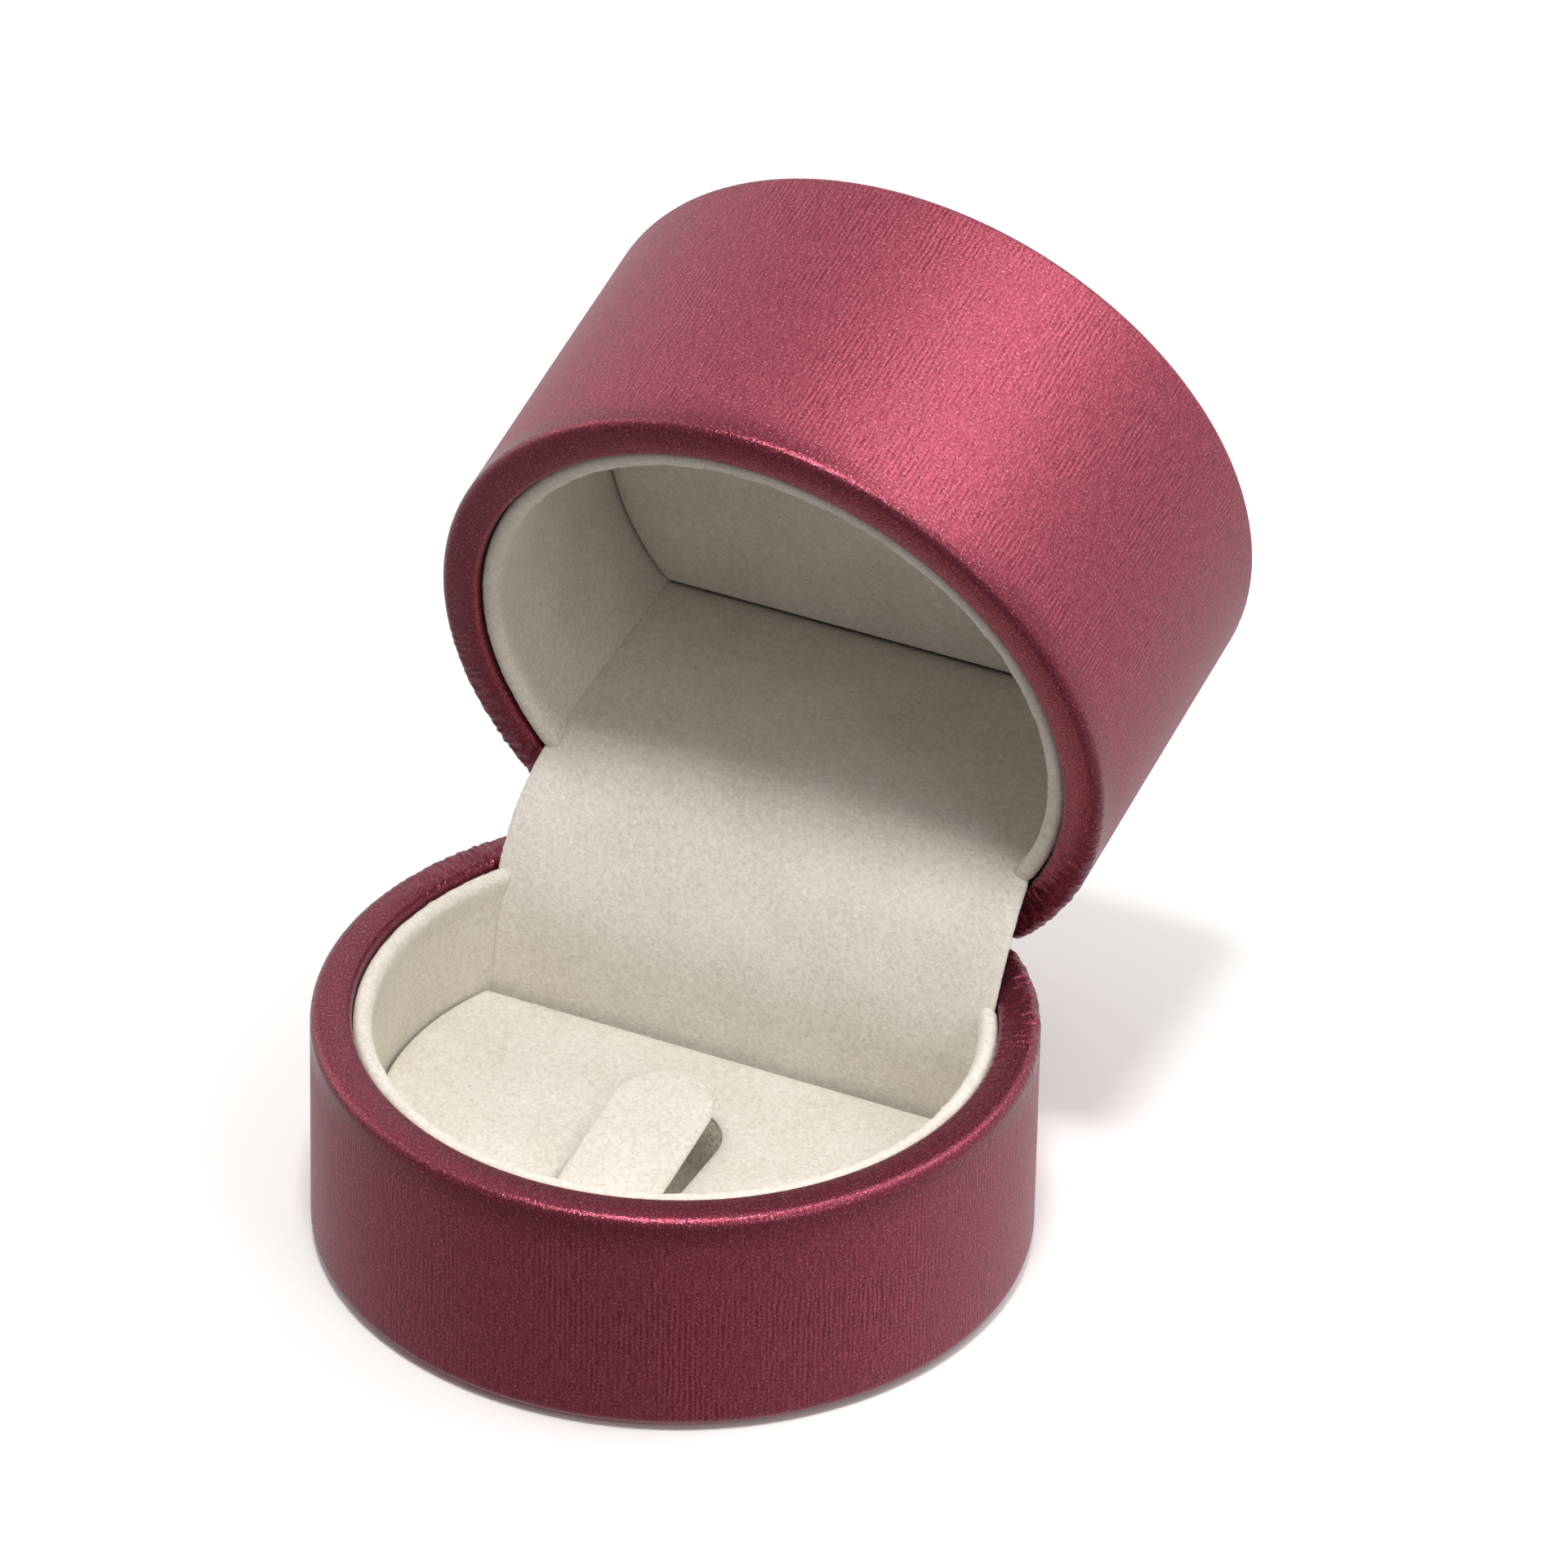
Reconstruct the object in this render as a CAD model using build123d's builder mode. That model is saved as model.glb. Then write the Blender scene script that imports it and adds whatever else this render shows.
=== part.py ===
from build123d import *
import math
import os

# Hinged jewelry gift box: a round-fronted, flat-backed case in wine leatherette with a
# cream velvet inside, standing open. Millimetres, +Z up. The origin is the centre of the
# round front on the resting face. The front is -Y, the flat back and its hinge are +Y.
# Heights given for lid parts are those of the shut box: lid_level and lid_side tilt them.

os.makedirs("parts", exist_ok=True)

# Outside
outer_radius = 27.0
back_y = 19.4
base_height = 18.7
lid_height = 28.2
seam_gap = 0.3
corner_radius = 1.4
rim_width = 3.1
rim_rounding = 0.9
foot_rounding = 1.0

# Walls
skin = 0.5
shell_wall = 2.1
floor_z = 2.4
foot_panel = 0.3
turn_in_depth = 6.0
foot_turn_in = 4.0
foot_panel_inset = 1.6
fit_gap = 0.1
past = 1.0  # how far a cut runs past the face it opens

# Lining
liner_thickness = 1.3
liner_end_y = 11.5
liner_top = 18.6
card = 0.8
velvet = 0.6
pad_top = 9.0
pad_back_y = 9.2
ceiling_z = 37.7
pad_clearance = 0.2
liner_roll = 0.59
base_card_length = 9.0
base_card_inset = 0.4
lid_card_length = 12.5
lid_card_inset = 1.0

# Hinge
open_angle = 76.0
pivot_y = 19.2
pivot_z = base_height + seam_gap / 2
leaf_gauge = 0.4
leaf_half_width = 12.0
leaf_length = 11.5
tab_gap = 0.35
notch_side = 1.2
notch_depth = 1.3
barrel_radius = 0.85
pin_radius = 0.45
pin_clearance = 0.03
knuckle_count = 5
knuckle_gap = 0.15
rivet_radius = 0.8
rivet_head_radius = 1.6
rivet_head = 0.6
rivet_x = 8.5
rivet_drop = 6.4
rivet_set = 0.05
pin_head = 0.4
spring_gauge = 0.35
spring_half_width = 4.6
spring_reach = 8.0
spring_y = 15.9
spring_bow = 3.0
spring_hook = 0.4
spring_slot = 1.2

# Velvet band that joins the two insides in front of the hinge
band_half_width = 19.2
band_foot = (9.5, 3.4)
band_bend = (11.04, 25.2)
band_head = (12.46, 38.6)
band_radius = 16.0

# Ring tongue
tongue_half_width = 4.0
tongue_root_y = -14.5
tongue_tip_y = 2.0
tongue_gap = 0.4
tongue_lift = 12.0
pocket_depth = 4.9

shell_radius = outer_radius - skin
shell_back_y = back_y - skin
mouth_radius = outer_radius - rim_width
mouth_back_y = back_y - rim_width
cavity_radius = shell_radius - shell_wall
cavity_back_y = shell_back_y - shell_wall
liner_outer = mouth_radius - fit_gap
liner_inner = liner_outer - liner_thickness
shell_foot = foot_panel + skin
rim_shell = base_height - skin
lid_rim = base_height + seam_gap
lid_top = lid_rim + lid_height
lid_notch = pivot_z + notch_depth - lid_rim + past
notch_half_width = leaf_half_width + notch_side
notch_z = pivot_z - notch_depth
base_notch = base_height - notch_z + past

tilt = math.radians(open_angle)
lid_back = Vector(0, math.cos(tilt), -math.sin(tilt))
lid_up = Vector(0, math.sin(tilt), math.cos(tilt))
lid_origin = Vector(0, pivot_y, pivot_z) - lid_back * pivot_y - lid_up * pivot_z


def level(z):
    """Horizontal plane of the base at height z."""
    return Plane.XY.offset(z)


def lid_level(z):
    """Plane of the open lid that lies at height z when the box is shut."""
    return Plane(origin=lid_origin + lid_up * z, x_dir=(1, 0, 0), z_dir=lid_up)


lid_side = Plane(origin=lid_origin, x_dir=lid_back, z_dir=(1, 0, 0))


def in_lid(y, z):
    """Side-view point (y, z) of the shut lid, where it lies on the open box."""
    point = lid_origin + lid_back * y + lid_up * z
    return (point.Y, point.Z)


def d_outline(radius, flat_y, corner=0.0):
    """Face bounded by a round front and a straight back at flat_y."""
    half_chord = math.sqrt(radius**2 - flat_y**2)
    with BuildLine() as edge:
        ThreePointArc((half_chord, flat_y), (0, -radius), (-half_chord, flat_y))
        Line((-half_chord, flat_y), (half_chord, flat_y))
        if corner:
            fillet(edge.vertices(), corner)
    make_face(edge.edges())


def d_block(plane, height, radius, flat_y, corner=0.0, mode=Mode.ADD):
    """Solid of the D outline, standing on a plane."""
    with BuildSketch(plane) as outline:
        d_outline(radius, flat_y, corner)
    extrude(outline.sketch, amount=height, mode=mode)


def box_cut(plane, x_size, y_low, y_high, height):
    """Cuts a centred block between two depths out of the part."""
    with BuildSketch(plane) as cut:
        with Locations((0, (y_low + y_high) / 2)):
            Rectangle(x_size, y_high - y_low)
    extrude(cut.sketch, amount=height, mode=Mode.SUBTRACT)


def rim_edges(part, z_axis, height_index):
    """Edges of the end face furthest along an axis."""
    face = part.faces().filter_by(GeomType.PLANE).sort_by(z_axis)[height_index]
    return face.outer_wire().edges()


# --- Base -----------------------------------------------------------------------------

with BuildPart() as base_foot_panel:
    panel_radius = outer_radius - foot_panel_inset
    d_block(level(0), foot_panel, panel_radius, back_y - foot_panel_inset, corner_radius)
base_foot_panel.part.label = "base_foot_panel"

with BuildPart() as base_shell:
    d_block(level(shell_foot), rim_shell - shell_foot, shell_radius, shell_back_y, corner_radius)
    fillet(rim_edges(base_shell, Axis.Z, 0), foot_rounding - skin)
    fillet(rim_edges(base_shell, Axis.Z, -1), rim_rounding - skin)
    d_block(level(floor_z), base_height, cavity_radius, cavity_back_y, mode=Mode.SUBTRACT)
    box_cut(level(notch_z), 2 * notch_half_width, cavity_back_y - past, back_y + past, base_notch)
    with BuildSketch(Plane.XZ.offset(-back_y)):
        with Locations((-rivet_x, pivot_z - rivet_drop), (rivet_x, pivot_z - rivet_drop)):
            Circle(rivet_radius)
    extrude(amount=shell_wall + past, mode=Mode.SUBTRACT)
base_shell.part.label = "base_shell"

turn_in = rim_shell - turn_in_depth
strip_inset = corner_radius - 0.2
strip_half_width = math.sqrt(outer_radius**2 - back_y**2) - strip_inset

with BuildPart() as base_core:
    d_block(level(shell_foot), rim_shell - shell_foot, shell_radius, shell_back_y, corner_radius)
    fillet(rim_edges(base_core, Axis.Z, 0), foot_rounding - skin)
    fillet(rim_edges(base_core, Axis.Z, -1), rim_rounding - skin)
    d_block(level(turn_in), base_height, cavity_radius, cavity_back_y, mode=Mode.SUBTRACT)

with BuildPart() as base_wrap:
    d_block(level(foot_panel), base_height - foot_panel, outer_radius, back_y, corner_radius)
    fillet(rim_edges(base_wrap, Axis.Z, 0), foot_rounding)
    fillet(rim_edges(base_wrap, Axis.Z, -1), rim_rounding)
    add(base_core.part, mode=Mode.SUBTRACT)
    half_height = base_height / 2
    foot_hole = (outer_radius - foot_turn_in, back_y - foot_turn_in)
    d_block(level(half_height), base_height, mouth_radius, mouth_back_y, mode=Mode.SUBTRACT)
    d_block(level(0), half_height, *foot_hole, mode=Mode.SUBTRACT)
    box_cut(level(0), 2 * strip_half_width, shell_back_y, back_y + past, notch_z)
    box_cut(level(notch_z), 2 * notch_half_width, mouth_back_y - past, back_y + past, base_notch)
    box_cut(level(half_height), 2 * notch_half_width, mouth_back_y - past, cavity_back_y, base_height)
base_wrap.part.label = "base_wrap"

with BuildPart() as base_liner:
    with BuildSketch(level(floor_z + fit_gap)):
        Circle(liner_outer)
        Circle(liner_inner, mode=Mode.SUBTRACT)
        with Locations((0, liner_end_y + outer_radius)):
            Rectangle(3 * outer_radius, 2 * outer_radius, mode=Mode.SUBTRACT)
    extrude(amount=liner_top - floor_z - fit_gap)
    fillet(base_liner.edges().filter_by(GeomType.CIRCLE).group_by(Axis.Z)[-1], liner_roll)
base_liner.part.label = "base_liner"

pad_radius = liner_inner - pad_clearance


def tongue_outline(grow):
    """Strip with a round free end, grown by a gap on every side."""
    half = tongue_half_width + grow
    root = tongue_root_y - grow
    with BuildLine() as edge:
        Line((-half, root), (half, root))
        Line((half, root), (half, tongue_tip_y - tongue_half_width))
        ThreePointArc(
            (half, tongue_tip_y - tongue_half_width),
            (0, tongue_tip_y + grow),
            (-half, tongue_tip_y - tongue_half_width),
        )
        Line((-half, tongue_tip_y - tongue_half_width), (-half, root))
    return make_face(edge.edges(), mode=Mode.PRIVATE)


with BuildPart() as ring_pad_board:
    d_block(level(floor_z + fit_gap), card, pad_radius, pad_back_y)
ring_pad_board.part.label = "ring_pad_board"

foam_foot = floor_z + fit_gap + card
foam_top = pad_top - velvet

with BuildPart() as ring_pad_foam:
    d_block(level(foam_foot), foam_top - foam_foot, pad_radius, pad_back_y)
    with BuildSketch(level(foam_top - pocket_depth)):
        add(tongue_outline(tongue_gap))
    extrude(amount=pocket_depth, mode=Mode.SUBTRACT)
ring_pad_foam.part.label = "ring_pad_foam"

with BuildPart() as ring_pad_cover:
    d_block(level(foam_top), velvet, pad_radius, pad_back_y)
    with BuildSketch(level(foam_top)):
        add(tongue_outline(tongue_gap))
    extrude(amount=velvet, mode=Mode.SUBTRACT)
ring_pad_cover.part.label = "ring_pad_cover"

# The tongue stands a little proud of the pad, turned about its root.
lift = math.radians(tongue_lift)
tongue_plane = Plane(
    origin=(0, tongue_root_y, foam_top),
    x_dir=(1, 0, 0),
    z_dir=(0, -math.sin(lift), math.cos(lift)),
)
with BuildPart() as ring_tongue:
    with BuildSketch(tongue_plane):
        with Locations((0, -tongue_root_y)):
            add(tongue_outline(0))
    extrude(amount=velvet)
ring_tongue.part.label = "ring_tongue"

# --- Velvet hinge band and its stiffening cards -----------------------------------------

head = in_lid(*band_head)


def along(start, end, distance):
    """Point at a distance from start on the line to end."""
    length = math.dist(start, end)
    share = distance / length
    return (start[0] + (end[0] - start[0]) * share, start[1] + (end[1] - start[1]) * share)


def beside(start, end, distance):
    """The line from start to end, moved towards its right by a distance."""
    length = math.dist(start, end)
    step = ((end[1] - start[1]) / length * distance, -(end[0] - start[0]) / length * distance)
    return [(start[0] + step[0], start[1] + step[1]), (end[0] + step[0], end[1] + step[1])]


def meeting(first, second):
    """Point where two lines in the side view cross."""
    (ay, az), (by, bz) = first
    (cy, cz), (dy, dz) = second
    spread = (by - ay) * (dz - cz) - (bz - az) * (dy - cy)
    share = ((cy - ay) * (dz - cz) - (cz - az) * (dy - cy)) / spread
    return (ay + (by - ay) * share, az + (bz - az) * share)


with BuildPart() as hinge_band:
    low_line = beside(band_foot, band_bend, velvet / 2)
    high_line = beside(band_bend, head, velvet / 2)
    with BuildSketch(Plane.YZ):
        with BuildLine():
            FilletPolyline(
                low_line[0],
                meeting(low_line, high_line),
                high_line[1],
                radius=band_radius - velvet / 2,
            )
        trace(line_width=velvet)
    extrude(amount=band_half_width, both=True)
hinge_band.part.label = "hinge_band"

with BuildPart() as base_back_card:
    card_line = beside(band_foot, band_bend, velvet + fit_gap + card / 2)
    with BuildSketch(Plane.YZ):
        with BuildLine():
            Line(card_line[0], along(card_line[0], card_line[1], base_card_length))
        trace(line_width=card)
    extrude(amount=band_half_width - base_card_inset, both=True)
base_back_card.part.label = "base_back_card"

with BuildPart() as lid_back_card:
    card_line = beside(band_bend, head, velvet + fit_gap + card / 2)
    with BuildSketch(Plane.YZ):
        with BuildLine():
            Line(along(card_line[1], card_line[0], lid_card_length), card_line[1])
        trace(line_width=card)
    extrude(amount=band_half_width - lid_card_inset, both=True)
lid_back_card.part.label = "lid_back_card"

# --- Lid --------------------------------------------------------------------------------

lip = 0.5
lip_rounding = 0.2
top_recess = 2.1
top_corner = 0.6
crown_z = lid_top - top_recess
ceiling_plate = 1.6
lip_inner = shell_radius - lip
lip_back_y = shell_back_y - lip
top_recess_radius = lip_inner - skin
top_recess_back_y = lip_back_y - skin
lid_turn_in = lid_rim + skin + turn_in_depth
lid_axis = Axis(lid_origin, lid_up)
cut_start = lid_level(lid_rim - past)


def lid_core(core):
    """Envelope of the lid shell, with its rounded rim and thin lip round the top."""
    height = lid_top - skin - lid_rim - skin
    d_block(lid_level(lid_rim + skin), height, shell_radius, shell_back_y, corner_radius)
    fillet(rim_edges(core, lid_axis, 0), rim_rounding - skin)
    recess_corner = corner_radius - lip
    d_block(lid_level(crown_z), 2 * top_recess, lip_inner, lip_back_y, recess_corner, Mode.SUBTRACT)
    fillet(core.faces().filter_by(GeomType.PLANE).sort_by(lid_axis)[-1].edges(), lip_rounding)


with BuildPart() as lid_shell:
    lid_core(lid_shell)
    cavity = crown_z - ceiling_plate - lid_rim + past
    d_block(cut_start, cavity, cavity_radius, cavity_back_y, mode=Mode.SUBTRACT)
    box_cut(cut_start, 2 * notch_half_width, cavity_back_y - past, back_y + past, lid_notch)
    with BuildSketch(Plane(lid_side.origin + lid_back * back_y, x_dir=(1, 0, 0), z_dir=-lid_back)):
        rivet_z = pivot_z + rivet_drop
        with Locations((-rivet_x, rivet_z), (rivet_x, rivet_z)):
            Circle(rivet_radius)
    extrude(amount=shell_wall + past, mode=Mode.SUBTRACT)
lid_shell.part.label = "lid_shell"

with BuildPart() as lid_wrap_core:
    lid_core(lid_wrap_core)
    depth = lid_turn_in - lid_rim + past
    d_block(cut_start, depth, cavity_radius, cavity_back_y, mode=Mode.SUBTRACT)

with BuildPart() as lid_wrap:
    d_block(lid_level(lid_rim), lid_height, outer_radius, back_y, corner_radius)
    fillet(rim_edges(lid_wrap, lid_axis, 0), rim_rounding)
    fillet(rim_edges(lid_wrap, lid_axis, -1), skin + lip_rounding)
    add(lid_wrap_core.part, mode=Mode.SUBTRACT)
    hollow = crown_z - lid_rim
    recess = (top_recess_radius, top_recess_back_y, top_corner)
    strip_start = lid_level(lid_rim + strip_inset)
    strip_inner = top_recess_back_y - lip
    d_block(cut_start, hollow, mouth_radius, mouth_back_y, mode=Mode.SUBTRACT)
    d_block(lid_level(crown_z), 2 * top_recess, *recess, mode=Mode.SUBTRACT)
    box_cut(strip_start, 2 * strip_half_width, strip_inner, back_y + past, lid_height)
    box_cut(cut_start, 2 * notch_half_width, mouth_back_y - past, back_y + past, lid_notch)
    box_cut(cut_start, 2 * notch_half_width, mouth_back_y - past, cavity_back_y, base_height / 2)
lid_wrap.part.label = "lid_wrap"

cover_gap = 0.15
cover_radius = top_recess_radius - cover_gap
cover_back_y = top_recess_back_y - cover_gap

with BuildPart() as lid_top_board:
    d_block(lid_level(crown_z), card, cover_radius, cover_back_y, top_corner)
lid_top_board.part.label = "lid_top_board"

dome_foot = crown_z + card
dome_height = 2.3
dome_rounding = 1.7

with BuildPart() as lid_top_foam:
    foam_back_y = cover_back_y - skin
    d_block(lid_level(dome_foot), dome_height - skin, cover_radius - skin, foam_back_y, top_corner)
    fillet(rim_edges(lid_top_foam, lid_axis, -1), dome_rounding - skin)
lid_top_foam.part.label = "lid_top_foam"

with BuildPart() as lid_top_cover:
    d_block(lid_level(dome_foot), dome_height, cover_radius, cover_back_y, top_corner)
    fillet(rim_edges(lid_top_cover, lid_axis, -1), dome_rounding)
    add(lid_top_foam.part, mode=Mode.SUBTRACT)
lid_top_cover.part.label = "lid_top_cover"

with BuildPart() as lid_liner:
    with BuildSketch(lid_level(lid_rim + fit_gap)):
        Circle(liner_outer)
        Circle(liner_inner, mode=Mode.SUBTRACT)
        with Locations((0, liner_end_y + outer_radius)):
            Rectangle(3 * outer_radius, 2 * outer_radius, mode=Mode.SUBTRACT)
    extrude(amount=crown_z - ceiling_plate - lid_rim - 2 * fit_gap)
    fillet(lid_liner.edges().filter_by(GeomType.CIRCLE).group_by(lid_axis)[0], liner_roll)
lid_liner.part.label = "lid_liner"

ceiling_back_y = 12.0
ceiling_foam_inset = 0.5

with BuildPart() as lid_ceiling_cover:
    d_block(lid_level(ceiling_z), velvet, pad_radius, ceiling_back_y)
lid_ceiling_cover.part.label = "lid_ceiling_cover"

with BuildPart() as lid_ceiling_board:
    d_block(lid_level(ceiling_z + velvet), card, pad_radius, ceiling_back_y)
lid_ceiling_board.part.label = "lid_ceiling_board"

with BuildPart() as lid_ceiling_foam:
    foam_z = ceiling_z + velvet + card
    foam_radius = pad_radius - ceiling_foam_inset
    d_block(lid_level(foam_z), crown_z - ceiling_plate - foam_z, foam_radius, ceiling_back_y)
lid_ceiling_foam.part.label = "lid_ceiling_foam"

# --- Hinge ------------------------------------------------------------------------------

leaf_y = cavity_back_y - leaf_gauge
tab_foot = pivot_z - barrel_radius
tab_end = pivot_y - barrel_radius - tab_gap
knuckle_length = 2 * leaf_half_width / knuckle_count
knuckle_centres = [(i - (knuckle_count - 1) / 2) * knuckle_length for i in range(knuckle_count)]
base_knuckles = knuckle_centres[0::2]
lid_knuckles = knuckle_centres[1::2]


def hinge_leaf(plane, side, centres):
    """Sheet-steel leaf: plate on the back wall, tab over the wall, rolled knuckles.

    side is -1 for the base leaf, which hangs below the pin, and +1 for the lid leaf.
    """
    tab_z = pivot_z + side * (barrel_radius - leaf_gauge / 2)
    plate_end = pivot_z + side * (barrel_radius + leaf_length)
    plate_start = tab_z - side * leaf_gauge / 2
    with BuildSketch(plane) as plate:
        with Locations((leaf_y + leaf_gauge / 2, (plate_start + plate_end) / 2)):
            Rectangle(leaf_gauge, abs(plate_end - plate_start))
        with Locations(((leaf_y + tab_end) / 2, tab_z)):
            Rectangle(tab_end - leaf_y, leaf_gauge)
    extrude(plate.sketch, amount=leaf_half_width, both=True)
    for centre in centres:
        knuckle_plane = plane.offset(centre - (knuckle_length - knuckle_gap) / 2)
        with BuildSketch(knuckle_plane) as knuckle:
            with Locations((pivot_y, pivot_z)):
                Circle(barrel_radius)
            with Locations(((leaf_y + pivot_y) / 2, tab_z)):
                Rectangle(pivot_y - leaf_y, leaf_gauge)
            with Locations((pivot_y, pivot_z)):
                Circle(pin_radius + pin_clearance, mode=Mode.SUBTRACT)
        extrude(knuckle.sketch, amount=knuckle_length - knuckle_gap)
    hole_z = pivot_z + side * rivet_drop
    slot_z = pivot_z + side * spring_reach
    face = Plane(plane.origin + plane.x_dir * (leaf_y - past), x_dir=(1, 0, 0), z_dir=plane.x_dir)
    with BuildSketch(face) as holes:
        with Locations((-rivet_x, -hole_z), (rivet_x, -hole_z)):
            Circle(rivet_radius)
        with Locations((0, -slot_z)):
            Rectangle(2 * spring_half_width + spring_hook, spring_slot)
    extrude(holes.sketch, amount=2 * past, mode=Mode.SUBTRACT)


with BuildPart() as hinge_leaf_base:
    hinge_leaf(Plane.YZ, -1, base_knuckles)
hinge_leaf_base.part.label = "hinge_leaf_base"

with BuildPart() as hinge_leaf_lid:
    hinge_leaf(lid_side, 1, lid_knuckles)
hinge_leaf_lid.part.label = "hinge_leaf_lid"

with BuildPart() as hinge_pin:
    with BuildSketch(Plane.YZ):
        with Locations((pivot_y, pivot_z)):
            Circle(pin_radius)
    extrude(amount=leaf_half_width + fit_gap + pin_head, both=True)
    for side in (-1, 1):
        with BuildSketch(Plane.YZ.offset(side * (leaf_half_width + fit_gap))):
            with Locations((pivot_y, pivot_z)):
                Circle(barrel_radius - fit_gap)
        extrude(amount=side * pin_head)
hinge_pin.part.label = "hinge_pin"


def rivet_pair(plane, height):
    """Two rivets through a leaf and the back wall, heads to the inside."""
    start = Plane(
        plane.origin + plane.x_dir * (leaf_y - rivet_head),
        x_dir=(1, 0, 0),
        z_dir=plane.x_dir,
    )
    spots = [(-rivet_x, -height), (rivet_x, -height)]
    with BuildSketch(start) as heads:
        with Locations(*spots):
            Circle(rivet_head_radius)
    extrude(heads.sketch, amount=rivet_head)
    with BuildSketch(start) as shanks:
        with Locations(*spots):
            Circle(rivet_radius)
    extrude(shanks.sketch, amount=rivet_head + leaf_gauge + shell_wall - rivet_set)


with BuildPart() as base_hinge_rivets:
    rivet_pair(Plane.YZ, pivot_z - rivet_drop)
base_hinge_rivets.part.label = "base_hinge_rivets"

with BuildPart() as lid_hinge_rivets:
    rivet_pair(lid_side, pivot_z + rivet_drop)
lid_hinge_rivets.part.label = "lid_hinge_rivets"

# Bow spring: hooked through both leaves, straight along each, rounded past the pin.
hook_y = cavity_back_y - fit_gap
base_hook_z = pivot_z - spring_reach
lid_hook_z = pivot_z + spring_reach
spring_bend = meeting(
    [(spring_y, 0), (spring_y, base_height)],
    [in_lid(spring_y, lid_rim), in_lid(spring_y, lid_top)],
)
with BuildPart() as snap_spring:
    with BuildSketch(Plane.YZ):
        with BuildLine():
            FilletPolyline(
                (hook_y, base_hook_z),
                (spring_y, base_hook_z),
                spring_bend,
                in_lid(spring_y, lid_hook_z),
                in_lid(hook_y, lid_hook_z),
                radius=[spring_hook, spring_bow, spring_hook],
            )
        trace(line_width=spring_gauge)
    extrude(amount=spring_half_width, both=True)
snap_spring.part.label = "snap_spring"

# Leatherette strip over the back of the base, round the hinge and over the lid's back lip.
strip_y = back_y - skin / 2
strip_fold = 2.1
strip_bend = 0.8
strip_end = crown_z + 0.05
with BuildPart() as back_strip:
    with BuildSketch(Plane.YZ):
        with BuildLine():
            FilletPolyline(
                (strip_y, foot_panel + foot_rounding),
                (strip_y, pivot_z - strip_fold),
                in_lid(strip_y, pivot_z + strip_fold),
                in_lid(strip_y, lid_top - skin / 2),
                in_lid(lip_back_y - skin / 2, lid_top - skin / 2),
                in_lid(lip_back_y - skin / 2, strip_end),
                radius=[strip_bend, strip_bend, lip_rounding + skin / 2, lip_rounding + skin / 2],
            )
        trace(line_width=skin)
    extrude(amount=strip_half_width - fit_gap, both=True)
back_strip.part.label = "back_strip"

# --- Hand-in ----------------------------------------------------------------------------

built = [
    base_foot_panel,
    base_shell,
    base_wrap,
    base_liner,
    base_back_card,
    ring_pad_board,
    ring_pad_foam,
    ring_pad_cover,
    ring_tongue,
    hinge_band,
    hinge_leaf_base,
    hinge_leaf_lid,
    hinge_pin,
    base_hinge_rivets,
    lid_hinge_rivets,
    snap_spring,
    back_strip,
    lid_shell,
    lid_wrap,
    lid_liner,
    lid_back_card,
    lid_ceiling_cover,
    lid_ceiling_board,
    lid_ceiling_foam,
    lid_top_board,
    lid_top_foam,
    lid_top_cover,
]
for piece in built:
    export_step(piece.part, f"parts/{piece.part.label}.step")
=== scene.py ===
import math

import bpy
from mathutils import Matrix, Vector, geometry, kdtree, noise


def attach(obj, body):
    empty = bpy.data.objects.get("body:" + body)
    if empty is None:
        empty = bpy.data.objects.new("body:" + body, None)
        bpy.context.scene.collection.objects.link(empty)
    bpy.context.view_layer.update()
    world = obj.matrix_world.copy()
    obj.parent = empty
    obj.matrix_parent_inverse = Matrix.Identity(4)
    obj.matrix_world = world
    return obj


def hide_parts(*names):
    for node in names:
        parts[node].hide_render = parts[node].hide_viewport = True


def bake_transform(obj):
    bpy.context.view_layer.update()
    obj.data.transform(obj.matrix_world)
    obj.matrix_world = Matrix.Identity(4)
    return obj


# A small hinged ring box with a round front and a flat back, standing open. Lengths are in
# millimetres and become metres when a mesh is made. Heights of lid pieces are those of the
# shut box, and opened() tilts them back with the lid.
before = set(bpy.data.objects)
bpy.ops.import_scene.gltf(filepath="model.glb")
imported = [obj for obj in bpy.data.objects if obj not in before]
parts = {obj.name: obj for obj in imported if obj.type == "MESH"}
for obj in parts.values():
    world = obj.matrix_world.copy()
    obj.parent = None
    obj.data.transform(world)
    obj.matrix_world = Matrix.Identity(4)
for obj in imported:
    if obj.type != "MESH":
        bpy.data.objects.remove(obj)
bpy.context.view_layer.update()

# --- Shells -----------------------------------------------------------------------------
# Two injection-moulded polystyrene cups, the hard core of the base and of the lid. The
# leatherette is glued round them, and they show only at the notch for the hinge.


def linear(hex_colour):
    """Linear RGBA of an sRGB hex colour."""
    channels = [int(hex_colour[i : i + 2], 16) / 255 for i in (1, 3, 5)]
    lit = [c / 12.92 if c <= 0.04045 else ((c + 0.055) / 1.055) ** 2.4 for c in channels]
    return (*lit, 1.0)


def new_material(name):
    """An empty node material."""
    material = bpy.data.materials.new(name)
    material.use_nodes = True
    material.node_tree.nodes.clear()
    return material


def add_node(material, kind, inputs, **settings):
    """Adds a node. An input takes a value, a node, or a node and the output that feeds it."""
    tree = material.node_tree
    made = tree.nodes.new("ShaderNode" + kind)
    for name, value in settings.items():
        setattr(made, name, value)
    for name, value in inputs.items():
        if isinstance(value, bpy.types.Node):
            value = (value, 0)
        if isinstance(value, tuple) and isinstance(value[0], bpy.types.Node):
            tree.links.new(value[0].outputs[value[1]], made.inputs[name])
        else:
            made.inputs[name].default_value = value
    return made


def finish_parts(material, names):
    """Gives CAD parts their finish."""
    for name in names:
        parts[name].data.materials.clear()
        parts[name].data.materials.append(material)


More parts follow.
